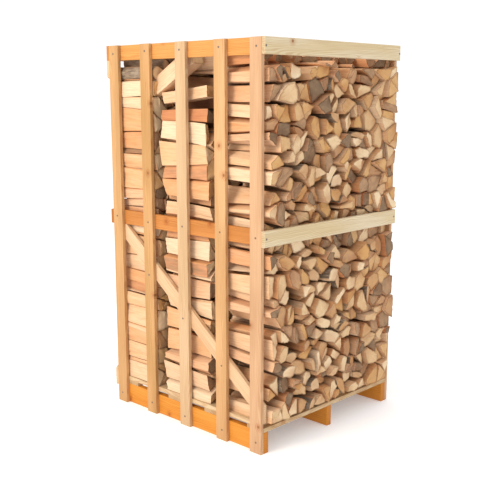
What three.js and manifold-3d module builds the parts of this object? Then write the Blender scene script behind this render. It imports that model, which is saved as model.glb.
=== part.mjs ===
// A pallet crate of split firewood, in millimetres, +Z up.
// X runs across the open face, Y runs from the open face (-Y) to the back, and the
// origin is on the ground under the middle of the crate.
import * as THREE from 'three';
import { mergeVertices } from 'three/addons/utils/BufferGeometryUtils.js';
import Module from 'manifold-3d';

// ---- driving dimensions ----
const HEIGHT = 2000; // ground to the top of the slats
const WIDTH = 1075; // over the outer faces of the side slats
const DEPTH = 1123; // front edge of the first slat to the back edge of the last
const GAP = 0.3; // left between boards that touch

const BOARD_THICKNESS = 21; // slats, rails and braces
const SLAT_WIDTH = 75;
const SLAT_CENTRES = [37.5, 275, 552, 826, 1085.5]; // from the front edge
const RAIL_WIDTH = 78;
const MIDDLE_RAIL_TOP = 1115;
const BRACE_WIDTH = 75;
const SIDE_BRACE = { low: 203, high: 1054 }; // heights of a brace's centre line at its two ends
const BACK_LOWER_BRACE = { low: 140, high: 1050 };
const BACK_UPPER_BRACE = { low: 1180, high: 1880 };
const EASED_EDGE = 1.5; // flat worn on every long edge

const RUNNER_HEIGHT = 109;
const RUNNER_THICKNESS = 35;
const DECK_THICKNESS = 22; // cross boards and deck boards
const CROSS_BOARDS = [ // front edge of each, from the front of the pallet, and its width
  { start: 0, width: 112 },
  { start: 272, width: 150 },
  { start: 558, width: 150 },
  { start: DEPTH - 150, width: 150 },
];
const DECK_BOARD_COUNT = 7;
const DECK_BOARD_WIDTH = 96;
const DECK_RECESS = 25; // the deck boards end this far behind the first cross board's edge

const LOG_CLEARANCE = 3; // from the stack to the boards around it
const PROUD = 40; // the front row's log tips stand this far in front of the slats
const SHOULDER = 110; // how far in from the slats a row's heap gets to its full height
const LOG_ROWS = { // first and last tip behind the slats' front edge, and the heap's two heights
  log_row_front: { start: -PROUD, end: 345, edgeTop: 1912, top: 1950 },
  log_row_middle: { start: 386, end: 754, edgeTop: 1912, top: 1975 },
  log_row_back: { start: 788, end: DEPTH, edgeTop: 1912, top: 1975 },
};

// ---- sizes worked out from them ----
const overallDepth = PROUD + DEPTH + GAP + BOARD_THICKNESS;
const frontY = PROUD - overallDepth / 2;
const backY = frontY + DEPTH;
const innerX = WIDTH / 2 - BOARD_THICKNESS - GAP; // inner face of the slats
const railSpan = { low: HEIGHT - RAIL_WIDTH, high: HEIGHT };
const middleSpan = { low: MIDDLE_RAIL_TOP - RAIL_WIDTH, high: MIDDLE_RAIL_TOP };
const crossZ = RUNNER_HEIGHT + GAP;
const deckZ = crossZ + DECK_THICKNESS + GAP;
const deckTop = deckZ + DECK_THICKNESS;

// ---- materials ----
const wood = (color, roughness) => new THREE.MeshStandardMaterial({ color, roughness, metalness: 0 });
const slatWood = () => wood(0xe2b87a, 0.7);
const railWood = () => wood(0xdf9445, 0.65);
const paleRailWood = () => wood(0xd9c08c, 0.75);
const runnerWood = () => wood(0xe28c2e, 0.65);
const deckWood = () => wood(0xdcc19a, 0.75);
const logWood = () => wood(0xd0a273, 0.85);

// ---- boards ----
// The three ways that a sawn board lies: the outline's two directions and the direction
// of its thickness, as columns of a basis.
const X = new THREE.Vector3(1, 0, 0);
const Y = new THREE.Vector3(0, 1, 0);
const Z = new THREE.Vector3(0, 0, 1);
const LIES = {
  side: new THREE.Matrix4().makeBasis(Y, Z, X), // outline in Y and Z, thickness along +X
  face: new THREE.Matrix4().makeBasis(Z, X, Y), // outline in Z and X, thickness along +Y
  flat: new THREE.Matrix4().makeBasis(X, Y, Z), // outline in X and Y, thickness along +Z
};

const rectangle = (a0, b0, a1, b1) => [[a0, b0], [a1, b0], [a1, b1], [a0, b1]];

// A board from its outline and thickness, with its long edges eased.
function board(name, material, lies, outline, thickness, start) {
  const shape = new THREE.Shape(outline.map(([a, b]) => new THREE.Vector2(a, b)));
  const geometry = new THREE.ExtrudeGeometry(shape, {
    depth: thickness - 2 * EASED_EDGE,
    bevelThickness: EASED_EDGE,
    bevelSize: EASED_EDGE,
    bevelOffset: -EASED_EDGE,
    bevelSegments: 1,
    steps: 1,
  });
  geometry.translate(0, 0, start + EASED_EDGE);
  geometry.applyMatrix4(LIES[lies]);
  const mesh = new THREE.Mesh(geometry, material);
  mesh.name = name;
  return mesh;
}

// Outline of a diagonal brace, as [across, up] points: its low end is cut plumb at 0, and
// its high end is cut plumb at run and level under the rail there.
function braceOutline(run, { low, high }, ceiling, width = BRACE_WIDTH) {
  const rise = (high - low) / run;
  const half = (width / 2) * Math.hypot(1, rise);
  return [
    [0, low - half],
    [run, high - half],
    [run, ceiling],
    [(ceiling - low - half) / rise, ceiling],
    [0, low + half],
  ];
}

// The brace of a slatted side, climbing from the foot of the front slat to the middle rail.
function sideBraceOutline(width = BRACE_WIDTH) {
  return braceOutline(DEPTH, SIDE_BRACE, middleSpan.low - GAP, width)
    .map(([across, up]) => [frontY + across, up]);
}

// ---- the pallet ----
function pallet() {
  const group = new THREE.Group();
  const runners = {
    runner_left: -innerX,
    runner_middle: -RUNNER_THICKNESS / 2,
    runner_right: innerX - RUNNER_THICKNESS,
  };
  for (const [name, start] of Object.entries(runners)) {
    const outline = rectangle(frontY, 0, backY, RUNNER_HEIGHT);
    group.add(board(name, runnerWood(), 'side', outline, RUNNER_THICKNESS, start));
  }
  CROSS_BOARDS.forEach(({ start, width }, index) => {
    const outline = rectangle(-innerX, frontY + start, innerX, frontY + start + width);
    group.add(board(`cross_board_${index + 1}`, deckWood(), 'flat', outline, DECK_THICKNESS, crossZ));
  });
  const pitch = (2 * innerX - DECK_BOARD_WIDTH) / (DECK_BOARD_COUNT - 1);
  for (let index = 0; index < DECK_BOARD_COUNT; index += 1) {
    const x = -innerX + index * pitch;
    const outline = rectangle(x, frontY + DECK_RECESS, x + DECK_BOARD_WIDTH, backY);
    group.add(board(`deck_board_${index + 1}`, deckWood(), 'flat', outline, DECK_THICKNESS, deckZ));
  }
  return group;
}

// ---- a slatted side ----
// The slats are outside, and the rails and the brace are nailed to their inner faces.
function slattedSide(side, slatStart, railStart) {
  const group = new THREE.Group();
  SLAT_CENTRES.forEach((centre, index) => {
    const y = frontY + centre;
    const outline = rectangle(y - SLAT_WIDTH / 2, 0, y + SLAT_WIDTH / 2, HEIGHT);
    group.add(board(`${side}_slat_${index + 1}`, slatWood(), 'side', outline, BOARD_THICKNESS, slatStart));
  });
  for (const [rail, span] of [['top', railSpan], ['middle', middleSpan]]) {
    const outline = rectangle(frontY, span.low, backY, span.high);
    group.add(board(`${side}_${rail}_rail`, railWood(), 'side', outline, BOARD_THICKNESS, railStart));
  }
  group.add(board(`${side}_brace`, slatWood(), 'side', sideBraceOutline(), BOARD_THICKNESS, railStart));
  return group;
}

// ---- the open front and the back ----
function frontRails() {
  const group = new THREE.Group();
  const start = frontY - GAP - BOARD_THICKNESS;
  for (const [rail, span] of [['top', railSpan], ['middle', middleSpan]]) {
    const outline = rectangle(span.low, -WIDTH / 2, span.high, WIDTH / 2);
    group.add(board(`front_${rail}_rail`, paleRailWood(), 'face', outline, BOARD_THICKNESS, start));
  }
  return group;
}

function backFrame() {
  const group = new THREE.Group();
  const start = backY + GAP;
  for (const [rail, span] of [['top', railSpan], ['middle', middleSpan]]) {
    const outline = rectangle(span.low, -WIDTH / 2, span.high, WIDTH / 2);
    group.add(board(`back_${rail}_rail`, railWood(), 'face', outline, BOARD_THICKNESS, start));
  }
  // The lower brace climbs towards +X and the upper one towards -X, so both end by the rails.
  const lower = braceOutline(WIDTH, BACK_LOWER_BRACE, middleSpan.low - GAP)
    .map(([across, up]) => [up, across - WIDTH / 2]);
  const upper = braceOutline(WIDTH, BACK_UPPER_BRACE, railSpan.low - GAP)
    .map(([across, up]) => [up, WIDTH / 2 - across]);
  group.add(board('back_lower_brace', slatWood(), 'face', lower, BOARD_THICKNESS, start));
  group.add(board('back_upper_brace', slatWood(), 'face', upper, BOARD_THICKNESS, start));
  return group;
}

// ---- the firewood ----
// Each row of logs is one plain solid that reaches the logs' tips and lies against the slats.
// It is cut away round the side and front rails and the side braces, which the logs lie behind.
const wasm = await Module();
wasm.setup();

function solidOf(lies, outline, thickness, start) {
  const shape = new THREE.Shape(outline.map(([a, b]) => new THREE.Vector2(a, b)));
  const geometry = new THREE.ExtrudeGeometry(shape, { depth: thickness, bevelEnabled: false });
  geometry.translate(0, 0, start);
  geometry.applyMatrix4(LIES[lies]);
  geometry.deleteAttribute('normal');
  geometry.deleteAttribute('uv');
  const { attributes, index } = mergeVertices(geometry);
  return new wasm.Manifold(new wasm.Mesh({
    numProp: 3,
    vertProperties: attributes.position.array,
    triVerts: new Uint32Array(index.array),
  }));
}

function geometryOf(solid) {
  const { vertProperties, triVerts } = solid.getMesh();
  const geometry = new THREE.BufferGeometry();
  geometry.setAttribute('position', new THREE.BufferAttribute(vertProperties, 3));
  geometry.setIndex(new THREE.BufferAttribute(triVerts, 1));
  geometry.computeVertexNormals();
  return geometry;
}

// The boards that the stack lies behind, each with the logs' clearance round it.
function boardsInTheWay() {
  const low = middleSpan.low - LOG_CLEARANCE;
  const high = middleSpan.high + LOG_CLEARANCE;
  const thickness = BOARD_THICKNESS + LOG_CLEARANCE;
  const sideRail = rectangle(frontY - PROUD, low, backY, high);
  const sideBrace = sideBraceOutline(BRACE_WIDTH + 2 * LOG_CLEARANCE);
  const frontRails = [
    rectangle(low, -WIDTH / 2, high, WIDTH / 2),
    rectangle(railSpan.low - LOG_CLEARANCE, -WIDTH / 2, HEIGHT, WIDTH / 2),
  ];
  const starts = [-innerX, innerX - thickness];
  return [
    ...starts.map((start) => solidOf('side', sideRail, thickness, start)),
    ...starts.map((start) => solidOf('side', sideBrace, thickness, start)),
    ...frontRails.map((rail) => solidOf('face', rail, PROUD + LOG_CLEARANCE, frontY - PROUD)),
  ];
}

function logRows() {
  const group = new THREE.Group();
  const halfWidth = innerX - LOG_CLEARANCE / 2;
  const underRail = halfWidth - BOARD_THICKNESS - LOG_CLEARANCE; // a side's top rail ends here
  const low = deckTop + GAP;
  const inTheWay = boardsInTheWay();
  for (const [name, { start, end, edgeTop, top }] of Object.entries(LOG_ROWS)) {
    const outline = [
      [low, halfWidth],
      [low, -halfWidth],
      [edgeTop, -halfWidth],
      [edgeTop, -underRail],
      [top, SHOULDER - halfWidth],
      [top, halfWidth - SHOULDER],
      [edgeTop, underRail],
      [edgeTop, halfWidth],
    ].reverse();
    const stack = solidOf('face', outline, end - start - GAP, frontY + start);
    const mesh = new THREE.Mesh(
      geometryOf(inTheWay.reduce((rest, piece) => rest.subtract(piece), stack)),
      logWood(),
    );
    mesh.name = name;
    group.add(mesh);
  }
  return group;
}

const crate = new THREE.Group();
crate.add(
  pallet(),
  slattedSide('left', -WIDTH / 2, -innerX),
  slattedSide('right', WIDTH / 2 - BOARD_THICKNESS, innerX - BOARD_THICKNESS),
  frontRails(),
  backFrame(),
  logRows(),
);
crate.updateMatrixWorld(true);

export default crate;
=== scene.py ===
# %% [markdown]
# # A pallet crate of split firewood
#
# The real object is a tall crate nailed together from sawn softwood boards: a pallet below, two
# slatted sides, rails across the open front, and three rows of split logs stacked inside it, end
# on. The crate's boards come from the CAD frame and only get their wood here. The logs are far
# too many to be CAD parts, so they are modelled here, hundreds of them, and no two are alike.

# %% Loading the crate
import math
from functools import partial

import bpy
import numpy as np
from mathutils import Matrix, Vector


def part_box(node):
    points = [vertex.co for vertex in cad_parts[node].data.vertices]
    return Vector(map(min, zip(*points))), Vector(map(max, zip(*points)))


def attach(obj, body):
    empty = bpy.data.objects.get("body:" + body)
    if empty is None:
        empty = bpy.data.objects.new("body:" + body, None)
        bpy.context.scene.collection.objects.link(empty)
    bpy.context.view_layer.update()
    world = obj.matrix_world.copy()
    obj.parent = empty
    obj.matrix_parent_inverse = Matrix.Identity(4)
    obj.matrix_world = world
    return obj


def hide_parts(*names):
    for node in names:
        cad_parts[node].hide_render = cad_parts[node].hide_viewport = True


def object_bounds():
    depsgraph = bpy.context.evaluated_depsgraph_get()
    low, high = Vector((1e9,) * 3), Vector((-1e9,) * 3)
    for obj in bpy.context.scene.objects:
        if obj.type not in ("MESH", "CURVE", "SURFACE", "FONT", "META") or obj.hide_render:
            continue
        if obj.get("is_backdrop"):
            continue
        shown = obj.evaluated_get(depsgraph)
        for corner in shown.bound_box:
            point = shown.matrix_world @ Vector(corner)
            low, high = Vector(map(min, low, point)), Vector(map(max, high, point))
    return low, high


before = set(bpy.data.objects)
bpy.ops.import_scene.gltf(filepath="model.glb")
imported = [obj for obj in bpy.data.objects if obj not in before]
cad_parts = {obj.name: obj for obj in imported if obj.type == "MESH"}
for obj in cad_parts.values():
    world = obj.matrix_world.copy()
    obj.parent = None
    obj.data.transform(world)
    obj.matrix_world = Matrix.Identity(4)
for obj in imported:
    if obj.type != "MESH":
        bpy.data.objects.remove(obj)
cad_low, cad_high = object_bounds()
MM = 0.001
print(f"crate: {len(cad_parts)} nodes, {(cad_high - cad_low).z:.3f} m high")

# %% [markdown]
# ## Where the crate is seen from
#
# The viewer stands in front of the crate's left corner, with the eyes near the crate's top, and
# looks slightly down. A long lens keeps the uprights almost parallel. The camera's place is given
# from the foot of the nearest corner post, as shares of the crate's height.

# %% Camera
height = (cad_high - cad_low).z
corner = Vector((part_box("left_slat_1")[0].x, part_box("left_slat_1")[0].y, 0))
CAMERA_FROM_CORNER = Vector((-1.4165, -1.3150, 0.8713))
CAMERA_TURN = math.radians(46.36)
CAMERA_TILT = math.radians(-10.5)
CAMERA_LENS = 60.4

camera = bpy.data.objects.new("camera", bpy.data.cameras.new("camera"))
bpy.context.scene.collection.objects.link(camera)
camera.location = corner + CAMERA_FROM_CORNER * height
camera.rotation_euler = (math.pi / 2 + CAMERA_TILT, 0, -CAMERA_TURN)
camera.data.lens = CAMERA_LENS
bpy.context.scene.camera = camera
print("camera at", [round(c, 3) for c in camera.location])

# %% [markdown]
# ## Light and floor
#
# The light is like bright, hazy daylight: an even white sky, and one large warm lamp high on the
# left. A very large white floor takes the soft shadow under the pallet. It gives off a little light
# of its own, so that it stays white out to the horizon.

# %% Lamps, sky and floor
KEY_LAMP_PLACE = (-6.0, 0.4, 4.2)
KEY_LAMP_SIZE = 2.2
KEY_LAMP_WATTS = 238
SKY_STRENGTH = 1.06
FLOOR_SIZE = 60
FLOOR_GLOW = 0.22

bpy.context.scene.view_settings.view_transform = "Standard"


def srgb(code):
    """A hex colour as linear red, green, blue and alpha."""
    channels = [int(code[i : i + 2], 16) / 255 for i in (1, 3, 5)]
    linear = [c / 12.92 if c <= 0.04045 else ((c + 0.055) / 1.055) ** 2.4 for c in channels]
    return (*linear, 1.0)


def lamp(name, place, aim, size, power, colour):
    light = bpy.data.lights.new(name, "AREA")
    light.size = size
    light.energy = power
    light.color = srgb(colour)[:3]
    thing = bpy.data.objects.new(name, light)
    bpy.context.scene.collection.objects.link(thing)
    thing.location = place
    thing.rotation_euler = (Vector(aim) - Vector(place)).to_track_quat("-Z", "Y").to_euler()


middle = (0, 0, height / 2)
lamp("key_lamp", KEY_LAMP_PLACE, middle, KEY_LAMP_SIZE, KEY_LAMP_WATTS, "#FFF2E2")

world = bpy.context.scene.world or bpy.data.worlds.new("sky")
bpy.context.scene.world = world
world.use_nodes = True
world.node_tree.nodes["Background"].inputs["Color"].default_value = srgb("#FFFFFF")
world.node_tree.nodes["Background"].inputs["Strength"].default_value = SKY_STRENGTH

bpy.ops.object.select_all(action="DESELECT")
bpy.ops.mesh.primitive_plane_add(size=FLOOR_SIZE, location=(0, 0, cad_low.z))
floor = bpy.context.object
floor.name = "floor"
floor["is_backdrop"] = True

# %% [markdown]
# ## How a material is put together here
#
# Every finish is a small network of nodes. One function adds a node, sets what is on it and
# plugs other nodes into it, so that each material reads from top to bottom like a recipe.

# %% Node helpers


def plug(material, node, inputs):
    """Sets a node's sockets, by name or number, to values or to other nodes' sockets."""
    for socket, value in inputs.items():
        if isinstance(value, bpy.types.NodeSocket):
            material.node_tree.links.new(value, node.inputs[socket])
        else:
            node.inputs[socket].default_value = value


def add_node(material, kind, inputs=None, **settings):
    """Adds a node with its inputs plugged and its settings made."""
    node = material.node_tree.nodes.new(kind)
    for name, value in settings.items():
        setattr(node, name, value)
    plug(material, node, inputs or {})
    return node


def new_material(name):
    """An empty material, and its Principled shader."""
    material = bpy.data.materials.new(name)
    material.use_nodes = True
    return material, material.node_tree.nodes["Principled BSDF"]


def blend_colours(material, amount, first, second, mode="MIX"):
    """The colour first, mixed towards second by amount."""
    inputs = {0: amount, 6: first, 7: second}
    return add_node(material, "ShaderNodeMix", inputs, data_type="RGBA", blend_type=mode).outputs[2]


def tinted(material, amount, colour, tint):
    """The colour multiplied by a tint, as far as amount says."""
    return blend_colours(material, amount, colour, srgb(tint), "MULTIPLY")


def tones(material, value, stops):
    """The colour at value, between stops that are each a position and a colour."""
    node = add_node(material, "ShaderNodeValToRGB", {"Fac": value})
    bar = node.color_ramp.elements
    while len(bar) < len(stops):
        bar.new(0.5)
    for element, (position, colour) in zip(bar, stops):
        element.position = position
        element.color = srgb(colour)
    return node.outputs["Color"]


def ramp(material, value, low, high, to_low=0.0, to_high=1.0):
    """value stretched smoothly from low..high to to_low..to_high."""
    inputs = {"Value": value, 1: low, 2: high, 3: to_low, 4: to_high}
    node = add_node(material, "ShaderNodeMapRange", inputs, interpolation_type="SMOOTHSTEP")
    return node.outputs["Result"]


def maths(material, operation, first, second=0.0):
    return add_node(material, "ShaderNodeMath", {0: first, 1: second}, operation=operation).outputs[0]


def place_at(material, x, y, z=0.0):
    return add_node(material, "ShaderNodeCombineXYZ", {"X": x, "Y": y, "Z": z}).outputs[0]


def distance_along(material, vector, direction):
    inputs = {0: vector, 1: direction}
    return add_node(material, "ShaderNodeVectorMath", inputs, operation="DOT_PRODUCT").outputs["Value"]


def noise(material, place, scale, detail, roughness=0.5):
    inputs = {"Vector": place, "Scale": scale, "Detail": detail, "Roughness": roughness}
    return add_node(material, "ShaderNodeTexNoise", inputs).outputs["Fac"]


def helpers(material):
    """What a material needs most, bound to it: times, plus, fade, tint and pattern."""
    sums = [partial(maths, material, operation) for operation in ("MULTIPLY", "ADD")]
    return *sums, partial(ramp, material), partial(tinted, material), partial(noise, material)


floor_paint, floor_shader = new_material("backlit_white_floor")
plug(floor_paint, floor_shader, {
    "Base Color": srgb("#F7F7F7"),
    "Roughness": 0.9,
    "Emission Color": srgb("#F2F7FF"),
    "Emission Strength": FLOOR_GLOW,
})
floor.data.materials.append(floor_paint)

# %% [markdown]
# ## Sawn softwood
#
# The boards are rough-sawn pine and spruce. What the eye reads as wood is grain that runs along
# the board, growth rings that show as long wavy stripes, a brown knot here and there, and a tone
# that differs from board to board. All of it is worked out from the position on the board, split
# into the distance along it, across it and through it, so a slanted brace gets slanted grain.

# %% Sawn board finish
RING_SPACING = 7 * MM
KNOT_SPACING = 170 * MM
KNOT_RADIUS = 9 * MM
FIBRE_WIDTH = 1.6 * MM
KNOT_FREE = 0.8  # this share of the places for a knot stays empty


def sawn_board(name, seed, along, across, pale, warm, knot="#8A5A30"):
    """Rough-sawn softwood: matt, with striped grain along the board and round knots."""
    material, shader = new_material(name)
    times, plus, fade, tint, pattern = helpers(material)
    along, across = Vector(along).normalized(), Vector(across).normalized()
    place = add_node(material, "ShaderNodeTexCoord").outputs["Object"]
    axes = (along, across, along.cross(across))
    u, v, w = (distance_along(material, place, axis) for axis in axes)
    shift = 1.7 * seed  # so that no two boards show the same stretch of the pattern
    u = plus(u, shift)

    # Knots go straight through a board, so they are placed on its face only.
    on_face = {"Vector": place_at(material, u, plus(v, shift)), "Scale": 1 / KNOT_SPACING}
    knots = add_node(material, "ShaderNodeTexVoronoi", on_face, voronoi_dimensions="2D")
    distance = knots.outputs["Distance"]
    chance = add_node(material, "ShaderNodeSeparateColor", {0: knots.outputs["Color"]}).outputs[0]
    chosen = maths(material, "GREATER_THAN", chance, KNOT_FREE)
    radius = KNOT_RADIUS / KNOT_SPACING
    near = times(fade(distance, 0, 4 * radius, 1, 0), chosen)
    core = times(fade(distance, 0.6 * radius, radius, 1, 0), chosen)

    # Growth rings: stripes across the width that wander slowly along the length.
    slow = place_at(material, times(u, 1.1), times(v, 7.0), times(w, 7.0))
    wander = pattern(slow, 1.0, 3.0, 0.55)
    phase = times(plus(v, times(wander, 0.11)), 2 * math.pi / RING_SPACING)
    phase = plus(phase, times(near, 9.0))
    rings = fade(maths(material, "SINE", phase), -0.6, 1.0)

    # Fibres: very long, very thin noise.
    thin_v, thin_w = (maths(material, "DIVIDE", width, FIBRE_WIDTH) for width in (v, w))
    fibres = pattern(place_at(material, times(u, 9.0), thin_v, thin_w), 0.5, 2.0)
    patches = pattern(slow, 1.6, 2.0)

    colour = blend_colours(material, fade(patches, 0.32, 0.68), srgb(pale), srgb(warm))
    colour = tint(times(rings, 0.30), colour, "#C98B4A")
    colour = tint(fade(fibres, 0.35, 0.75, 0.0, 0.22), colour, "#B98350")
    colour = tint(times(near, 0.45), colour, "#C8843F")
    colour = blend_colours(material, times(core, 0.85), colour, srgb(knot))

    # The sawn-off ends drink up dirt and look darker.
    normal = add_node(material, "ShaderNodeNewGeometry").outputs["Normal"]
    facing = maths(material, "ABSOLUTE", distance_along(material, normal, along))
    end = fade(facing, 0.75, 0.95)
    colour = tint(times(end, 0.35), colour, "#B08A5C")

    relief = plus(fibres, times(rings, 0.35))
    bump = add_node(material, "ShaderNodeBump", {"Strength": 0.35, "Distance": 0.6 * MM, "Height": relief})
    plug(material, shader, {
        "Base Color": colour,
        "Roughness": fade(fibres, 0.3, 0.8, 0.62, 0.78),
        "Normal": bump.outputs[0],
        "Specular IOR Level": 0.3,
    })
    return material


# %% [markdown]
# ## The tone of each board
#
# Boards of one crate come from different trees. The slats are cream to golden, the rails and the
# runners behind them are a strong orange where the light reaches them through the slats, and the
# rails across the open front are a dry, greyish yellow.

# %% Giving every board its wood
X, Y, Z = Vector((1, 0, 0)), Vector((0, 1, 0)), Vector((0, 0, 1))
SLAT_TONES = [  # pale and warm colour of each slat, from the front to the back
    ("#CFAA84", "#BF9872"),
    ("#D2AA7A", "#C49B69"),
    ("#D2B58F", "#C4A67E"),
    ("#CAA06C", "#BA915B"),
    ("#CDA472", "#BC9360"),
]
WOODS = {  # a kind of board: its wood, the ways its grain and its width run, pale, warm and knot
    "runner": ("runner_larch", Y, Z, "#E0993D", "#D48D32", "#A05A1C"),
    "cross_board": ("cross_pine", X, Y, "#D2BA92", "#C2A67C"),
    "deck_board": ("deck_pine", Y, X, "#D9C4A0", "#CCB088"),
    "front": ("front_spruce", X, Z, "#DDD2B5", "#D3C29A"),
}


def brace_direction(node):
    """The way a brace runs, from the corners of its box, in the plane that it lies in."""
    low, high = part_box(node)
    size = high - low
    if node.startswith("back"):
        sign = 1 if node == "back_lower_brace" else -1
        return Vector((size.x, 0, sign * size.z)), Y
    return Vector((0, size.y, size.z)), X


def wood_for(node, seed):
    """The sawn wood of one crate board, by what it does in the crate."""
    kinds = [kind for kind in WOODS if node.startswith(kind)]
    if "_slat_" in node:
        wood, *finish = "slat_pine", Z, Y, *SLAT_TONES[int(node[-1]) - 1]
    elif node.endswith("brace"):
        along, flat = brace_direction(node)
        wood, *finish = "brace_pine", along, along.cross(flat), "#DEC09A", "#D2B088"
    elif kinds:
        wood, *finish = WOODS[kinds[0]]
    else:
        pale, warm = ("#D69B56", "#CC914B") if "top" in node else ("#C98847", "#BC7C3C")
        wood, *finish = "rail_larch", X if node.startswith("back") else Y, Z, pale, warm, "#9A5520"
    return sawn_board(f"sawn_{wood}_{node}", seed, *finish)


boards = [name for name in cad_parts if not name.startswith("log_row")]
for seed, name in enumerate(sorted(boards)):
    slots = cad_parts[name].material_slots
    slots[0].link = "OBJECT"
    slots[0].material = wood_for(name, seed)
print(f"{len(boards)} boards have their wood")

# %% [markdown]
# ## Splitting the logs
#
# A stack of split wood is close-fitting but never regular. Each row is worked out as its open
# face first, as flat shapes. The face is divided into patches the size of whole rounds, as mud
# cracks are: every point belongs to the nearest seed. An axe then splits each round once or
# twice, mostly from a corner through the middle, which gives the wedges and quarters of real
# firewood. Last, every shape is pared down a little, loses a corner here and there, and is
# turned a little, which opens the gaps that the eye reads as a stack.

# %% Flat shapes of the log ends
draw = np.random.default_rng(3)
COURSE_HEIGHT = 0.87  # of the spacing, so that staggered rounds nest
SLIMMEST = 0.26  # no log is a thinner slab than this
EDGE_MARGIN = 0.12  # of the spacing: no seed is closer to the edge than this
NEIGHBOURS = 2.6  # spacings: seeds farther apart than this are not compared
CORNER_SPLITS = 0.6  # this share of the splits starts at a corner, the rest goes across


def turned(vector, angle):
    c, s = math.cos(angle), math.sin(angle)
    return np.array([c * vector[0] - s * vector[1], s * vector[0] + c * vector[1]])


def area_and_centre(shape):
    """Area and centroid of a shape whose corners run anticlockwise."""
    following = np.roll(shape, -1, axis=0)
    cross = shape[:, 0] * following[:, 1] - following[:, 0] * shape[:, 1]
    area = cross.sum() / 2
    centre = ((shape + following) * cross[:, None]).sum(0) / (6 * area)
    return area, centre


def cut(shape, point, outward):
    """The part of a convex shape that lies behind the line through point, or None."""
    if shape is None:
        return None
    depth = (shape - point) @ outward
    kept = []
    for i in range(len(shape)):
        j = (i + 1) % len(shape)
        if depth[i] <= 0:
            kept.append(shape[i])
        if depth[i] * depth[j] < 0:
            kept.append(shape[i] + (shape[j] - shape[i]) * depth[i] / (depth[i] - depth[j]))
    return np.array(kept) if len(kept) > 2 else None


def slimness(shape):
    """Area over the square of the longest diagonal: 0.5 for a square, 0.3 for a 3 to 1 slab."""
    spans = shape[:, None, :] - shape[None, :, :]
    return area_and_centre(shape)[0] / (spans**2).sum(2).max()


def rounds(low, high, spacing, scatter):
    """Divides a rectangle into patches around scattered seeds, in staggered courses."""
    low, high = np.array(low), np.array(high)
    seeds = []
    for course in range(int((high[1] - low[1]) / (spacing * COURSE_HEIGHT)) + 2):
        for place in range(int((high[0] - low[0]) / spacing) + 2):
            step = np.array([place + 0.5 * (course % 2), course * COURSE_HEIGHT])
            seeds.append(low + (step + draw.uniform(-scatter, scatter, 2)) * spacing)
    margin = EDGE_MARGIN * spacing
    seeds = np.array([seed for seed in seeds if np.all(seed > low + margin) and np.all(seed < high - margin)])
    corners = np.array([low, (high[0], low[1]), high, (low[0], high[1])])
    patches = []
    for seed in seeds:
        patch = corners
        for other in seeds[np.linalg.norm(seeds - seed, axis=1) < NEIGHBOURS * spacing]:
            if not np.array_equal(other, seed):
                apart = other - seed
                patch = cut(patch, (seed + other) / 2, apart / np.linalg.norm(apart))
        if patch is not None:
            patches.append(patch)
    return patches


def split(shape, smallest, largest):
    """Splits a shape across until each piece is no bigger than an axe would leave it."""
    area, centre = area_and_centre(shape)
    if area < draw.uniform(smallest, largest):
        return [shape]
    for _ in range(12):
        if draw.random() < CORNER_SPLITS:
            start = shape[draw.integers(len(shape))]
            line = turned(centre - start, draw.normal(0, 0.12))
        else:
            spread = shape - centre
            longest = spread[np.argmax(np.linalg.norm(spread, axis=1))]
            line = turned(longest, math.pi / 2 + draw.normal(0, 0.35))
        across = turned(line / np.linalg.norm(line), math.pi / 2)
        through = centre + across * draw.normal(0, 0.05) * math.sqrt(area)
        halves = [cut(shape, through, across), cut(shape, through, -across)]
        if all(half is not None and slimness(half) > SLIMMEST for half in halves):
            return split(halves[0], smallest, largest) + split(halves[1], smallest, largest)
    return [shape]


def pared(shape, least, most):
    """The shape with a shaving taken off every side, or None if nothing is left."""
    for start, end in [(shape[i - 1], shape[i]) for i in range(len(shape))]:
        length = np.linalg.norm(end - start)
        if length > 0:
            outward = turned((end - start) / length, -math.pi / 2)
            shaving = least + (most - least) * draw.random() ** 2
            shape = cut(shape, start - outward * shaving, outward)
    return shape


def chipped(shape, chance):
    """The shape with corners broken off: a chance of one, and a smaller chance of a second."""
    for _ in range(2):
        if draw.random() < chance:
            _, centre = area_and_centre(shape)
            arm = shape[draw.integers(len(shape))] - centre
            reach = np.linalg.norm(arm)
            outward = turned(arm / reach, draw.normal(0, 0.4))
            smaller = cut(shape, centre + arm - outward * reach * draw.uniform(0.06, 0.30), outward)
            shape = shape if smaller is None else smaller
    return shape


def drop_short_sides(shape, shortest):
    """The shape without corners that sit too close to the next one."""
    following = np.roll(shape, -1, axis=0)
    return shape[np.linalg.norm(following - shape, axis=1) > shortest]


# %% [markdown]
# ## From a flat shape to a log
#
# A log keeps its section over its length, but the split faces are fibrous: long ridges run along
# them, they wave a little, and the whole log is slightly twisted and bent, because the axe
# follows the grain. Where the outside of the tree is left there is a bowed face with bark. The
# ends are sawn, nearly square but never quite flat. Every log also carries its own grain
# coordinates, measured from the tree's pith, so that rings and fibres follow the log.

# %% Outline, skin and ends of one log
POINT_SPACING = 12 * MM
LOG_RINGS = 9
RIDGE = 1.3 * MM
TWIST = 0.07  # radians from end to end, as a typical amount
BEND = 2.5 * MM
SAW_TILT = 0.17  # radians off square
SAW_UNEVENNESS = 2.2 * MM


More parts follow.
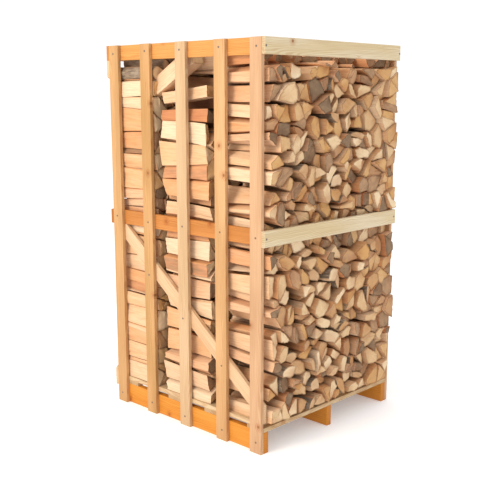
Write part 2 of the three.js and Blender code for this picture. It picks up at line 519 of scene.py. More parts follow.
def outline_of(shape, bark_side):
    """Points round a log's section, and the side and the share of bark after each of them."""
    shape = shape.copy()
    count = len(shape)
    bow = 0.0
    if bark_side is not None:
        a, b = bark_side, (bark_side + 1) % count
        before, after = shape[(a - 1) % count], shape[(b + 1) % count]
        side = shape[b] - shape[a]
        inward = turned(side / np.linalg.norm(side), math.pi / 2)
        room = min((before - shape[a]) @ inward, (after - shape[b]) @ inward)
        bow = min(draw.uniform(0.13, 0.24) * np.linalg.norm(side), 0.5 * room)
        shape[a] = shape[a] + (before - shape[a]) * bow / ((before - shape[a]) @ inward)
        shape[b] = shape[b] + (after - shape[b]) * bow / ((after - shape[b]) @ inward)
    points, sides, bark = [], [], []
    for i in range(count):
        start, end = shape[i], shape[(i + 1) % count]
        length = np.linalg.norm(end - start)
        nick = min(draw.uniform(0.8, 4.0) * MM, 0.2 * length)
        outward = turned((end - start) / length, -math.pi / 2)
        sag = draw.normal(0, 0.018) * length
        steps = max(2, round(length / POINT_SPACING))
        for step in range(steps + 1):
            t = step / steps
            point = start + (end - start) * (nick + (length - 2 * nick) * t) / length
            bulge = bow if i == bark_side else sag
            points.append(point + outward * bulge * 4 * t * (1 - t))
            sides.append(i)
            bark.append(1.0 if i == bark_side and step < steps else 0.0)
    return np.array(points), np.array(sides), np.array(bark)


def smooth_noise(count, rings, waves):
    """Gentle unevenness along a log: one row for each ring, one column for each outline point."""
    s = np.linspace(0, 1, rings)[:, None]
    phase = draw.uniform(0, 2 * math.pi, (waves, count))
    phase = (phase + np.roll(phase, 1, axis=1) + np.roll(phase, 2, axis=1)) / 3
    return sum(np.sin((wave + 1) * math.pi * s + phase[wave]) / (wave + 1) for wave in range(waves))


def log_mesh(shape, bark_side, near, far, lean=(0.0, 0.0), saw_tilt=SAW_TILT):
    """Arrays of one log: its points, its faces, and what its material needs to know."""
    outline, sides, bark = outline_of(shape, bark_side)
    _, centre = area_and_centre(outline)
    count = len(outline)
    flat = outline - centre
    outward = flat / np.linalg.norm(flat, axis=1)[:, None]

    # The skin: the section carried along the log, with ridges, waves, a twist and a bend.
    push = draw.normal(0, RIDGE, count) * (1 - 0.6 * bark) + smooth_noise(count, LOG_RINGS, 3) * MM
    s = np.linspace(-1, 1, LOG_RINGS)
    taper = 1 - 0.03 * draw.random() + 0.02 * draw.uniform(-1, 1) * s
    section = flat * taper[:, None, None] + outward * push[:, :, None]
    twist = draw.normal(0, TWIST / 2) * s
    bend = draw.normal(0, BEND, 2) * (s * s - 0.5)[:, None]
    points = np.empty((LOG_RINGS + 2, count, 3))
    for ring in range(LOG_RINGS):
        points[ring + 1, :, [0, 2]] = (section[ring] @ np.array(
            [turned((1, 0), twist[ring]), turned((0, 1), twist[ring])]
        ) + bend[ring]).T
        points[ring + 1, :, 1] = np.interp(s[ring], [-1, 1], [near, far])

    # The sawn ends: tilted, with a second ring of points inside the first one.
    for end, inner in ((1, 0), (LOG_RINGS, LOG_RINGS + 1)):
        tilt = np.clip(draw.normal(0, saw_tilt, 2), -1.5 * saw_tilt, 1.5 * saw_tilt)
        points[end, :, 1] += points[end, :, 0] * tilt[0] + points[end, :, 2] * tilt[1]
        points[inner] = points[end] * (0.78, 1, 0.78)
        points[inner, :, 1] = points[inner, :, 0] * tilt[0] + points[inner, :, 2] * tilt[1]
        points[inner, :, 1] += near if end == 1 else far
        uneven = draw.normal(0, SAW_UNEVENNESS, count)
        points[inner, :, 1] += (uneven + np.roll(uneven, 1) + np.roll(uneven, 2)) / 1.7

    # Out of 0..n: rings 1..n-1 are the skin's; the first and last ring are the ends' inner ones.
    points = points.reshape(-1, 3)
    centres = [points[:count].mean(0), points[-count:].mean(0)]
    points = np.vstack([points, centres])
    # The rim mask is 1 round each end's outline and 0 inside it; the material paints shade along the ends'
    # edges with it.
    rim = np.ones(len(points))
    rim[:count] = rim[-count - 2 :] = 0
    i = np.arange(count)
    j = (i + 1) % count
    faces, sawn, barked, side = [], [], [], []
    for ring in range(LOG_RINGS + 1):
        base, top = ring * count, (ring + 1) * count
        faces += zip(base + i, base + j, top + j, top + i)
        at_end = ring in (0, LOG_RINGS)
        sawn += [float(at_end)] * count
        barked += list(bark * (not at_end))
        side += list(sides)
    last = (LOG_RINGS + 1) * count
    for fan, tip in ((zip(j, i), last + count), (zip(last + i, last + j), last + count + 1)):
        faces += [(a, b, tip) for a, b in fan]
        sawn += [1.0] * count
        barked += [0.0] * count
        side += list(sides)

    # The pith lies under the bark, a radius deep, or beyond the log's sharpest corner.
    if bark_side is None:
        pith = flat[np.argmax(np.linalg.norm(flat, axis=1))] * draw.uniform(0.9, 1.7)
    else:
        pith = -flat[bark > 0].mean(0) * draw.uniform(0.8, 1.5)
    grain = points - np.array([pith[0], 0, pith[1]])

    turn = Matrix.Rotation(lean[0], 3, "X") @ Matrix.Rotation(lean[1], 3, "Z")
    pivot = np.array([0, (near + far) / 2, 0])
    points = (points - pivot) @ np.array(turn).T + pivot + np.array([centre[0], 0, centre[1]])
    # A log starts without painted shade; row_logs paints shade on the sides of the logs inside the stack.
    return {
        "hue": draw.random(), "painted_gap_shade": np.zeros(len(points)),
        "points": points, "faces": [tuple(int(index) for index in face) for face in faces],
        "grain": grain, "rim": rim, "sawn": sawn, "bark": barked, "side": side,
    }


# %% [markdown]
# ## The room for each row
#
# The row solids of the CAD frame say where each row stands and how high it is heaped. The logs
# lie against the slats, but behind the middle rails and the slanting braces, so every log at the
# edge of a row is trimmed to what is in its way.

# %% Room at the sides and at the top
CLEARANCE = 4 * MM
SLANT = 8 * MM  # how far a log's end is typically shifted
SLANT_WAVES = (2 * math.pi / 0.31, 2 * math.pi / 0.17)  # per metre across the row
SLANT_FADE = 60 * MM  # no slant this close to the deck, the slats and the top
slat_face = -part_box("left_slat_1")[1].x
rail_face = -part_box("left_middle_rail")[1].x
rail_low, rail_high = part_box("front_middle_rail")
top_rail_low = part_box("left_top_rail")[0].z
brace_low, brace_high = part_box("left_brace")
brace_foot = [v.co.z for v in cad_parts["left_brace"].data.vertices if v.co.y < brace_low.y + 5 * MM]
brace_tall = max(brace_foot) - min(brace_foot)
brace_slope = (brace_high.z - max(brace_foot)) / (brace_high.y - brace_low.y)


def side_reach(low_z, high_z, near, far):
    """How far from the middle a log may reach at the sides: to the slats, a rail or a brace."""
    brace_from = min(brace_foot) + brace_slope * (near - brace_low.y)
    brace_to = min(brace_foot) + brace_slope * (far - brace_low.y) + 1.2 * brace_tall
    room = CLEARANCE + SLANT
    by_rail = high_z > rail_low.z - room and low_z < rail_high.z + room
    by_brace = high_z > brace_from - room and low_z < brace_to + room
    by_top_rail = high_z > top_rail_low - CLEARANCE
    if by_rail or by_brace or by_top_rail:
        return rail_face - CLEARANCE
    return slat_face - CLEARANCE / 2


def heap_line(node):
    """The corners of a row solid's top edge, from left to right."""
    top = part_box(node)[1].z
    points = [v.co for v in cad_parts[node].data.vertices if v.co.z > top - 80 * MM]
    return sorted({(round(p.x, 4), round(p.z, 4)) for p in points})


def slanted(points, node):
    """The points of a row's log moved so that neighbours lie on a slant together."""
    low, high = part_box(node)
    x, y, z = points.T.copy()
    along = (2 * y - low.y - high.y) / LOG_LENGTH
    room = np.clip((z - low.z) / SLANT_FADE, 0, 1) * np.clip((heap_line(node)[0][1] - z) / SLANT_FADE, 0, 1)
    side_room = np.clip((rail_face - abs(x)) / SLANT_FADE - 0.5, 0, 1)
    rise = np.sin(z * SLANT_WAVES[0] + x * 5 + low.y * 9) + 0.6 * np.sin(z * SLANT_WAVES[1] - x * 8)
    shift = np.sin(x * SLANT_WAVES[0] + z * 7) + 0.6 * np.sin(x * SLANT_WAVES[1] + z * 11)
    return np.column_stack([x + SLANT * along * shift * side_room, y, z + SLANT * along * rise * room])


print(f"brace rises {brace_slope:.3f}, room to {slat_face:.3f} m or {rail_face:.3f} m")

# %% [markdown]
# ## Stacking the rows
#
# A row is filled from the deck up, and its top stays uneven. The log tips of the front row stand
# proud of the slats, each by its own amount, and that lets the light catch their split sides.

# %% Stacking one row
LOG_LENGTH = 338 * MM
LENGTH_SPREAD = 5 * MM
STACKS = {  # spacing of the rounds, how far the tips scatter, how low the top may sag, log size
    "log_row_front": {"spacing": 98 * MM, "scatter": 46 * MM, "sag": 6 * MM, "split": (5000, 10500)},
    "log_row_middle": {"spacing": 112 * MM, "scatter": 22 * MM, "sag": 10 * MM, "split": (5400, 12500)},
    "log_row_back": {"spacing": 112 * MM, "scatter": 8 * MM, "sag": 10 * MM, "split": (5000, 12000)},
}
ROUND_SCATTER = 0.33  # of the spacing, that a round is out of line at most, each way
SAGS = 12  # places across a row where its top sags by its own amount
TIGHT = 150 * MM  # this near the right side, or the back row's left end, logs lie close together
AT_SIDE = 40 * MM  # a log that comes this near the rails is seen through the slats
DEEP_SHARE = 0.3  # of the logs beside the slats lie well behind them
SHALLOW, DEEP = 5 * MM, 26 * MM  # how far behind the slats they typically lie
SHORTER = 22 * MM  # the back row's logs are up to this much shorter, so its open face is uneven too
EDGE_SCATTER = 15 * MM  # the logs on the deck and at the right edge are pulled forward
RIGHT_EDGE, RIGHT_LOGS = 30 * MM, 130 * MM  # a log at the right ends and begins this near the edge
BEHIND_TOP_RAIL = 14 * MM  # a row reaches up this far behind the top rails
TOP_COURSE = 42 * MM  # what lies higher than this below the top rail is pushed back
TOP_SET_BACK = (60 * MM, 110 * MM)
TOP_CORNER = 190 * MM  # but not this near the right side, where it would leave a hole
SHADED_TOP_HUES = (0.8, 1.0)  # dark end tones for the top course under the front top rail: painted shade
SMALLEST_LOG = 1500 * MM * MM
SMALLEST_FILLER = 0.15 * SMALLEST_LOG  # in the top course and where logs lie close together
SHORTEST_SIDE = 9 * MM
LEAST_SHAVING, TIGHT_SHAVING = 0.5 * MM, 2 * MM
SHAVING = {"log_row_front": 13 * MM, "log_row_middle": 10 * MM, "log_row_back": 8 * MM}  # at most
CHIPPED, CHIPPED_AT_SIDE = 0.55, 0.1  # chance of a broken corner
TURN = 0.055  # radians that a log is typically turned in its place
SHRINK, TIGHT_SHRINK = 0.97, 0.995
LEAN = 0.014  # radians that a log typically leans
LOOSE_LOGS = [  # width, thickness and height in mm, how far back the middle is, and the slant
    (92, 98, 1850, 288, -0.50),
    (84, 62, 1740, 190, -0.10),
]
NOTCHES = {  # where a row's left end is lower: this far from the slats, above this height
    "log_row_middle": (118 * MM, 1696 * MM),  # the loose logs tumbled in here
    "log_row_back": (72 * MM, 1890 * MM),
}
EYE_CATCHERS = [  # place in mm across and up, and hue, of logs kept whole in the front row
    (-270, 1810, 0.0), (360, 1850, 0.6), (-130, 1560, 0.62), (-190, 1400, 0.95), (-170, 1180, 0.64),
]
BARK_SHARE = 0.22
GAP_SHADE_START = 25 * MM  # painted shade on a log's sides begins this far in from its ends
NEAR_TOP = 60 * MM  # and none is painted on a log this near the heap's top


def trimmed(shape, node, near, far, sags):
    """A shape cut back to the room that its log has, or None."""
    low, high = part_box(node)
    reach = side_reach(shape[:, 1].min(), shape[:, 1].max(), near, far)
    for sign in (-1, 1):
        if (shape[:, 0] * sign).max() > rail_face - CLEARANCE:
            outward = turned((sign, 0), draw.normal(0, 0.05))
            deep = draw.random() < DEEP_SHARE and node != "log_row_back"
            edge = min(reach, slat_face - abs(draw.normal(0, DEEP if deep else SHALLOW)))
            shape = cut(shape, np.array([sign * (edge - 2 * MM), shape[:, 1].mean()]), outward)
            shape = cut(shape, np.array([sign * reach, 0]), np.array([sign, 0.0]))
            if shape is None:
                return None
    line = np.array(heap_line(node))
    middle = shape[:, 0].mean()
    sag = np.interp(middle, np.linspace(low.x, high.x, len(sags)), sags)
    top = max(np.interp(middle, line[:, 0], line[:, 1]), top_rail_low + BEHIND_TOP_RAIL) - sag
    if shape[:, 1].max() > top:
        lid = turned((0, 1), draw.normal(0, 0.12))
        shape = cut(shape, np.array([middle, top - 4 * MM]), lid)
    return shape


def loose_logs(node):
    """Two logs that tumbled on top of the middle row's left end, and lie on a slant there."""
    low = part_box(node)[0]
    inner = -rail_face + CLEARANCE
    logs = []
    for width, tall, up, back, pitch in LOOSE_LOGS:
        corners = [(0, -0.42), (0.75, -0.5), (1, -0.05), (0.8, 0.46), (0.1, 0.5)]
        shape = np.array([(inner + a * width * MM, (up + b * tall) * MM) for a, b in corners])
        middle = low.y + back * MM
        near, far = middle - LOG_LENGTH / 2, middle + LOG_LENGTH / 2
        logs.append(log_mesh(shape, None, near, far, (pitch, 0.0)))
    return logs


def outside_notch(shape, node):
    """A shape cut back from the row's notch, or None."""
    wall, floor_height = NOTCHES[node][0] - slat_face, NOTCHES[node][1]
    _, centre = area_and_centre(shape)
    if shape[:, 0].min() > wall or shape[:, 1].max() < floor_height:
        return shape
    if centre[0] > wall:
        return cut(shape, np.array([wall, 0]), np.array([-1.0, 0.0]))
    if centre[1] < floor_height:
        return cut(shape, np.array([0, floor_height]), np.array([0.0, 1.0]))
    return None


def beside_notch(shape, node):
    """Whether a log lies under or beside the row's notch."""
    wall, floor_height = NOTCHES[node][0] - slat_face, NOTCHES[node][1]
    return shape[:, 0].min() < wall + 15 * MM and shape[:, 1].max() > floor_height - 15 * MM


def behind_rail(shape):
    """Whether a log of the front row has a front rail before it."""
    low_z, high_z = shape[:, 1].min() - CLEARANCE, shape[:, 1].max() + CLEARANCE
    return high_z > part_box("front_top_rail")[0].z or (high_z > rail_low.z and low_z < rail_high.z)


def parted(shape):
    """A shape of the front row cut at the foot of the top course, which lies further back."""
    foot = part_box("front_top_rail")[0].z - TOP_COURSE
    above, below = shape[:, 1].max() > foot, shape[:, 1].min() < foot
    if not (above and below):
        return [shape]
    place = np.array([area_and_centre(shape)[1][0], foot])
    up = turned((0, 1), draw.normal(0, 0.2))
    return [part for part in (cut(shape, place, up), cut(shape, place, -up)) if part is not None]


def hue_of(patch):
    """The hue of a patch of the front row that holds an eye-catcher, or None."""
    following = np.roll(patch, -1, axis=0)
    for across, up, hue in EYE_CATCHERS:
        to_place = np.array([across * MM, up * MM]) - patch
        side = following - patch
        if np.all(side[:, 0] * to_place[:, 1] > side[:, 1] * to_place[:, 0]):
            return hue
    return None


def ends_of(shape, node, scatter, on_deck, top_course):
    """The near and the far end of a log, along the crate."""
    low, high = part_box(node)
    length = min(LOG_LENGTH + draw.normal(0, LENGTH_SPREAD), high.y - low.y - 2 * MM)
    if node == "log_row_back":
        length -= draw.uniform(0, SHORTER)
    near = low.y + MM + draw.uniform(0, min(scatter, high.y - low.y - 2 * MM - length))
    left, right = shape[:, 0].min(), shape[:, 0].max()
    at_right = right > high.x - RIGHT_EDGE and left > high.x - RIGHT_LOGS
    if node == "log_row_front" and behind_rail(shape):
        set_back = draw.uniform(*TOP_SET_BACK) if top_course and right <= high.x - TOP_CORNER else 0
        near = rail_high.y + 2 * CLEARANCE + set_back + draw.uniform(0, EDGE_SCATTER)
    elif node == "log_row_front" and (on_deck or at_right):
        near = low.y + MM + draw.uniform(0, EDGE_SCATTER)
    return near, min(near + length, high.y - MM)


def lies_tight(shape, node):
    """Whether a log lies where a gap would let the daylight through."""
    if shape[:, 0].max() > rail_face - TIGHT:
        return True
    return node == "log_row_back" and shape[:, 0].min() < TIGHT - rail_face


def loosened(shape, node, tight, at_side, smallest):
    """A shape pared down, chipped and turned a little, or None if too little is left."""
    shape = pared(shape, LEAST_SHAVING, TIGHT_SHAVING if tight else SHAVING[node])
    if shape is None:
        return None
    if not tight:
        shape = chipped(shape, CHIPPED_AT_SIDE if at_side else CHIPPED)
    shape = drop_short_sides(shape, SHORTEST_SIDE)
    if len(shape) < 3 or area_and_centre(shape)[0] < smallest:
        return None
    _, centre = area_and_centre(shape)
    angle, shrink = (0.0, TIGHT_SHRINK) if tight else (draw.normal(0, TURN), SHRINK)
    return np.array([turned(p - centre, angle) for p in shape]) * shrink + centre


def bark_side_of(shape, node, at_side):
    """Which side of a log has bark, or None."""
    spans = np.roll(shape, -1, axis=0) - shape
    barked = draw.random() < BARK_SHARE and not at_side
    if node == "log_row_back" and beside_notch(shape, node):
        return int(np.argmin(spans[:, 1]))
    return int(np.argmax(np.linalg.norm(spans, axis=1))) if barked else None


def row_logs(node, spacing, scatter, sag, sizes):
    """The logs of one row."""
    low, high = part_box(node)
    sags = draw.uniform(0, sag, SAGS)
    sags[[0, -1]] = 0
    logs = loose_logs(node) if node == "log_row_middle" else []
    for patch in rounds((low.x, low.z), (high.x, high.z), spacing, ROUND_SCATTER):
        hue = hue_of(patch) if node == "log_row_front" else None
        shapes = split(patch, sizes[0] * MM * MM, sizes[1] * MM * MM) if hue is None else [patch]
        if node == "log_row_front":
            shapes = [part for shape in shapes for part in parted(shape)]
        for shape in shapes:
            on_deck = shape[:, 1].min() < low.z + MM
            top_course = shape[:, 1].mean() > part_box("front_top_rail")[0].z - TOP_COURSE
            near, far = ends_of(shape, node, scatter, on_deck, top_course)
            shape = trimmed(shape, node, near, far, sags)
            if shape is not None and node in NOTCHES:
                shape = outside_notch(shape, node)
            if shape is None:
                continue
            at_side = abs(shape[:, 0]).max() > rail_face - AT_SIDE
            tight = lies_tight(shape, node)
            smallest = SMALLEST_FILLER if top_course or tight else SMALLEST_LOG
            shape = loosened(shape, node, tight, at_side, smallest)
            if shape is None:
                continue
            if on_deck:
                shape[:, 1] += low.z + 0.5 * MM - shape[:, 1].min()
            bark_side = bark_side_of(shape, node, at_side)
            saw_tilt = 0.5 * SAW_TILT if tight else SAW_TILT
            log = log_mesh(shape, bark_side, near, far, draw.normal(0, LEAN, 2), saw_tilt)
            log["points"] = slanted(log["points"], node)
            log["hue"] = draw.random() if hue is None else hue
            # Painted shade: the front row's top course lies in the shade of the front top rail, so its logs
            # get the darkest end tones.
            if node == "log_row_front" and top_course:
                log["hue"] = draw.uniform(*SHADED_TOP_HUES)
            # Painted shade: a log inside the stack, away from the slats and the top, gets darker sides the
            # further they are from its ends.
            if not at_side and shape[:, 1].max() < heap_line(node)[0][1] - NEAR_TOP:
                from_end = np.minimum(log["points"][:, 1] - near, far - log["points"][:, 1])
                log["painted_gap_shade"] = np.clip((from_end - GAP_SHADE_START) / (3 * GAP_SHADE_START), 0, 1)
            logs.append(log)
    return logs


# %% [markdown]
# ## Joining the logs
#
# Hundreds of separate objects would be slow and hard to handle, so each row is joined into four
# upright stacks. A log never changes when it is joined: its points and faces are only renumbered.
# The grain, the tone, the bark and the sawn ends are kept as attributes for the material. A log
# has one hue, and each of its faces has a tone of its own, because each was split apart.

# %% Joined stacks of logs
STACKS_PER_ROW = 4


def join_logs(name, logs):
    """One mesh object from many logs, with the attributes that the firewood material reads."""
    whole = {label: np.concatenate([log[label] for log in logs])
             for label in ("points", "grain", "rim", "painted_gap_shade", "sawn", "bark")}
    whole["hue"] = np.repeat([log["hue"] for log in logs], [len(log["faces"]) for log in logs])
    faces, tone, start = [], [], 0
    for log in logs:
        faces += [tuple(start + index for index in face) for face in log["faces"]]
        start += len(log["points"])
        tones_of_sides = draw.normal(0.42, 0.2) + draw.normal(0, 0.12, max(log["side"]) + 1)
        tone += list(tones_of_sides[log["side"]])
    whole["tone"] = np.array(tone)
    mesh = bpy.data.meshes.new(name)
    mesh.from_pydata(whole["points"].tolist(), [], faces)
    attribute = mesh.attributes.new("grain", "FLOAT_VECTOR", "POINT")
    attribute.data.foreach_set("vector", whole["grain"].astype(np.float32).ravel())
    for label in ("rim", "painted_gap_shade", "sawn", "bark", "tone", "hue"):
        domain = "POINT" if label in ("rim", "painted_gap_shade") else "FACE"
        attribute = mesh.attributes.new(label, "FLOAT", domain)
        attribute.data.foreach_set("value", whole[label].astype(np.float32))
    mesh.validate()
    piece = bpy.data.objects.new(name, mesh)
    bpy.context.scene.collection.objects.link(piece)
    return piece


log_pieces = []
for node, stack in STACKS.items():
    logs = row_logs(node, stack["spacing"], stack["scatter"], stack["sag"], stack["split"])
    low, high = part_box(node)
    places = [(log["points"][:, 0].mean() - low.x) / (high.x - low.x) for log in logs]
    for column in range(STACKS_PER_ROW):
        chosen = [log for log, place in zip(logs, places) if int(place * STACKS_PER_ROW) == column]
        piece = join_logs(f"{node.replace('log_row', 'logs')}_{column + 1}", chosen)
        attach(piece, "root")
        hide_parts(node)
        log_pieces.append(piece)
    print(node, len(logs), "logs")

for piece in log_pieces:
    bpy.ops.object.select_all(action="DESELECT")
    piece.select_set(True)
    bpy.context.view_layer.objects.active = piece
    bpy.ops.object.shade_smooth_by_angle(angle=math.radians(38))
print(sum(len(p.data.polygons) for p in log_pieces), "faces in all")

# %% [markdown]
# ## Split and sawn hardwood
#
# A split face is raw fibre, peach to orange, with streaks along the log. A sawn end is paler and
# greyer, with growth rings round the pith and a darker heart. Bark is a thin rough grey-brown
# skin. The mesh says which face is which, and the grain coordinates say where
# the pith is.

# %% Firewood finish
YEAR_RING = 5 * MM  # drawn a little coarser than the wood grows, so that it shows
SPLINTER_WIDTH = 2.5 * MM
SPLIT_TONES = [
    (0.0, "#E4C8A6"), (0.3, "#E0BC96"), (0.5, "#DCB084"),
    (0.7, "#D59F6E"), (0.88, "#C68E66"), (1.0, "#A27D5D"),
]
END_TONES = [
    (0.0, "#F4E2C4"), (0.22, "#E6CAA2"), (0.42, "#D6B286"), (0.58, "#D2A368"),
    (0.72, "#BD9470"), (0.86, "#957A5E"), (1.0, "#6F5A46"),
]
BARK_TONES = [(0.25, "#54463A"), (0.5, "#8A7763"), (0.7, "#B3A38F")]


def firewood():
    """Split and sawn hardwood with bark, each where the mesh says."""
    material, shader = new_material("split_kiln_dried_hardwood")
    times, plus, fade, tint, pattern = helpers(material)

    def attribute(label, output="Fac"):
        return add_node(material, "ShaderNodeAttribute", attribute_name=label).outputs[output]

    tone, hue, sawn, bark = (attribute(label) for label in ("tone", "hue", "sawn", "bark"))
    gx, gy, gz = add_node(material, "ShaderNodeSeparateXYZ", {0: attribute("grain", "Vector")}).outputs

    # Streaks run along the log, and broad patches lie under them.
    offset = times(tone, 37.0)
    thin_x, thin_z = (maths(material, "DIVIDE", width, SPLINTER_WIDTH) for width in (gx, gz))
    streak_place = place_at(material, thin_x, plus(times(gy, 20.0), offset), thin_z)
    streaks = pattern(streak_place, 0.45, 3.0, 0.6)
    wide_x, wide_z = (times(width, 28.0) for width in (gx, gz))
    broad_place = place_at(material, wide_x, plus(times(gy, 5.0), offset), wide_z)
    broad = pattern(broad_place, 1.0, 3.0)

    # The split sides, with painted shade deep in the stack, where the gaps between the logs are in shade.
    uneven = times(maths(material, "SUBTRACT", broad, 0.5), 0.5)
    split_colour = tones(material, plus(tone, uneven), SPLIT_TONES)
    streaky = fade(streaks, 0.40, 0.72, 0.0, 0.26)
    split_colour = tint(streaky, split_colour, "#B98055")
    # Painted shade: the sides deep in the stack are tinted towards dark brown.
    painted_gap_shade = times(attribute("painted_gap_shade"), 0.8)
    split_colour = tint(painted_gap_shade, split_colour, "#6E5644")
    ruddy = fade(hue, 0.55, 1.0, 0.0, 0.34)
    split_colour = tint(ruddy, split_colour, "#E0A272")

    # The sawn ends, with year rings and a dark heart, and painted shade at their edge, along the gaps between
    # the logs.
    radius_vector = {0: place_at(material, gx, gz)}
    radius = add_node(
        material, "ShaderNodeVectorMath", radius_vector, operation="LENGTH"
    ).outputs["Value"]
    ring_phase = times(radius, 2 * math.pi / YEAR_RING)
    ring_phase = plus(ring_phase, times(broad, 7.0))
    rings = fade(maths(material, "SINE", ring_phase), -0.2, 1.0)
    end_tone = plus(times(hue, 0.8), times(broad, 0.25))
    end_colour = tones(material, end_tone, END_TONES)
    end_colour = tint(times(rings, 0.28), end_colour, "#B08A5E")
    # Painted shade: each sawn end darkens towards its edge, where it meets the gaps between the logs.
    end_colour = tint(times(attribute("rim"), 0.6), end_colour, "#8A6A4C")
    heart = fade(radius, 20 * MM, 75 * MM, 0.35, 0.0)
    end_colour = tint(heart, end_colour, "#C08A5C")

    bark_noise = pattern(broad_place, 3.5, 5.0, 0.7)
    bark_colour = tones(material, bark_noise, BARK_TONES)
    colour = blend_colours(material, sawn, split_colour, end_colour)
    colour = blend_colours(material, bark, colour, bark_colour)

    relief = plus(streaks, times(bark_noise, times(bark, 3.0)))
    relief = plus(relief, times(times(rings, sawn), 0.25))
    bump = add_node(material, "ShaderNodeBump", {"Strength": 0.6, "Distance": 1.5 * MM, "Height": relief})
    plug(material, shader, {
        "Base Color": colour,
        "Roughness": fade(streaks, 0.3, 0.8, 0.72, 0.88),
        "Normal": bump.outputs[0],
        "Specular IOR Level": 0.25,
    })
    return material


firewood_finish = firewood()
for piece in log_pieces:
    piece.data.materials.append(firewood_finish)

# %% [markdown]
# ## Nails
#
# The slats are nailed to the rails, runners and braces behind them, and the boards across the front
# and the back to the corner slats. Only the heads show: thin dull discs with a rounded edge and a
# shallow dimple, sunk a little into the soft wood. One head is modelled from a cylinder and copied
# to each place, because real nails are all alike and only their places vary.

# %% One nail head
HEAD_RADIUS = 5.2 * MM
HEAD_THICKNESS = 2.4 * MM
HEAD_PROUD = 0.9 * MM

bpy.ops.object.select_all(action="DESELECT")
bpy.ops.mesh.primitive_cylinder_add(vertices=16, radius=HEAD_RADIUS, depth=HEAD_THICKNESS)
head = bpy.context.object
bpy.ops.object.mode_set(mode="EDIT")
bpy.ops.mesh.select_mode(type="FACE")
bpy.ops.mesh.select_all(action="DESELECT")
bpy.ops.object.mode_set(mode="OBJECT")
for face in head.data.polygons:
    face.select = face.normal.z > 0.9
bpy.ops.object.mode_set(mode="EDIT")
bpy.ops.mesh.inset(thickness=0.3 * HEAD_RADIUS)
bpy.ops.transform.translate(value=(0, 0, -0.25 * MM))
bpy.ops.object.mode_set(mode="OBJECT")
bevel = head.modifiers.new("rounded edge", "BEVEL")
bevel.width = 0.5 * MM
bevel.segments = 2
bevel.limit_method = "ANGLE"
bpy.ops.object.modifier_apply(modifier=bevel.name)
print(len(head.data.polygons), "faces in a nail head")

# %% [markdown]
# ## Where the nails are
#
# On the sides, a nail goes through each slat into each rail behind it, into the runner and into
# the brace where it passes. On the front and the back, nails go through the ends of the boards
# into the edges of the corner slats. A nailer never hits quite the same spot twice.

# %% Driving the nails
NAIL_SCATTER = 5 * MM
FROM_EDGE = 10.5 * MM  # from a board's end to the nail, half a slat's thickness
BRACE_NAIL_LOW, BRACE_NAIL_HIGH = 50 * MM, 45 * MM  # in from the brace's lowest and highest point
INTO = {  # the turn that points a head's top out of each face of the crate
    "left": (0, -math.pi / 2, 0),
    "right": (0, math.pi / 2, 0),
    "front": (math.pi / 2, 0, 0),
    "back": (-math.pi / 2, 0, 0),
}


def middle_of(node):
    low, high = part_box(node)
    return (low + high) / 2


def side_nails(side):
    """Nail places on a slatted side."""
    sign = -1 if side == "left" else 1
    face = sign * max(abs(c.x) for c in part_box(f"{side}_slat_1"))
    heights = [middle_of(node).z for node in (f"{side}_top_rail", f"{side}_middle_rail", f"runner_{side}")]
    places = []
    for number in range(1, 6):
        y = middle_of(f"{side}_slat_{number}").y
        brace = min(brace_foot) + brace_tall / 2 + brace_slope * (y - brace_low.y)
        crossings = heights + [brace] if 1 < number < 5 else heights
        places += [(face - sign * (HEAD_THICKNESS / 2 - HEAD_PROUD), y, z) for z in crossings]
    return places


def end_nails(end, boards):
    """Nail places at both ends of the boards across the front or the back."""
    places = []
    for node in boards:
        low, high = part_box(node)
        face = low.y if end == "front" else high.y
        sink = HEAD_THICKNESS / 2 - HEAD_PROUD
        y = face + sink if end == "front" else face - sink
        for x in (low.x, high.x):
            inward = FROM_EDGE if x < 0 else -FROM_EDGE
            z = middle_of(node).z
            if node.endswith("brace"):
                rises = (x > 0) == (node == "back_lower_brace")
                z = high.z - BRACE_NAIL_HIGH if rises else low.z + BRACE_NAIL_LOW
            places.append((x + inward, y, z))
    return places


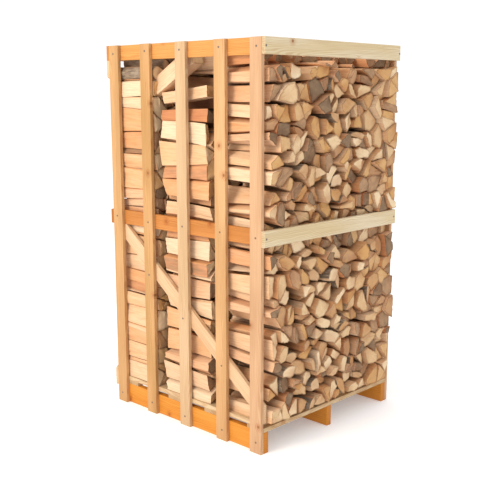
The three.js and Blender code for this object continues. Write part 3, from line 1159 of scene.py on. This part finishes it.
def drive_nails(name, turn, places):
    """Copies the nail head to every place and joins the copies in one piece."""
    copies = []
    for place in places:
        copy = head.copy()
        copy.data = head.data.copy()
        bpy.context.scene.collection.objects.link(copy)
        jitter = Vector(draw.uniform(-NAIL_SCATTER, NAIL_SCATTER, 3))
        outward = (Matrix.Rotation(turn[0], 3, "X") @ Matrix.Rotation(turn[1], 3, "Y")) @ Vector((0, 0, 1))
        copy.location = Vector(place) + jitter - outward * jitter.dot(outward)
        copy.rotation_euler = turn
        copies.append(copy)
    bpy.ops.object.select_all(action="DESELECT")
    for copy in copies:
        copy.select_set(True)
    bpy.context.view_layer.objects.active = copies[0]
    bpy.ops.object.join()
    piece = bpy.context.object
    piece.name = name
    bpy.ops.object.transform_apply(location=True, rotation=True, scale=True)
    bpy.ops.object.shade_smooth_by_angle(angle=math.radians(40))
    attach(piece, "root")
    return piece


front_boards = ["front_top_rail", "front_middle_rail"]
back_boards = ["back_top_rail", "back_middle_rail", "back_lower_brace", "back_upper_brace"]
nail_pieces = [
    drive_nails("nails_left", INTO["left"], side_nails("left")),
    drive_nails("nails_right", INTO["right"], side_nails("right")),
    drive_nails("nails_front", INTO["front"], end_nails("front", front_boards)),
    drive_nails("nails_back", INTO["back"], end_nails("back", back_boards)),
]
bpy.data.objects.remove(head)

# %% [markdown]
# ## Nail steel
#
# Bright wire nails go dull grey-brown outdoors within weeks. The steel keeps its metal look, but
# it is rough, and thin rust shows in spots.

# %% Nail finish
RUST_SPOT = 1.5 * MM
nail_steel, shader = new_material("dull_wire_nail_steel")
place = add_node(nail_steel, "ShaderNodeTexCoord").outputs["Object"]
rust = ramp(nail_steel, noise(nail_steel, place, 1 / RUST_SPOT, 2.0), 0.45, 0.7)
plug(nail_steel, shader, {
    "Base Color": blend_colours(nail_steel, rust, srgb("#7C7670"), srgb("#6B4A34")),
    "Roughness": ramp(nail_steel, rust, 0, 1, 0.45, 0.8),
    "Metallic": ramp(nail_steel, rust, 0, 1, 0.9, 0.2),
})
for piece in nail_pieces:
    piece.data.materials.clear()
    piece.data.materials.append(nail_steel)

# %% Size of the finished object
low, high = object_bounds()
print("visual box", [round(c, 4) for c in (*low, *high)])
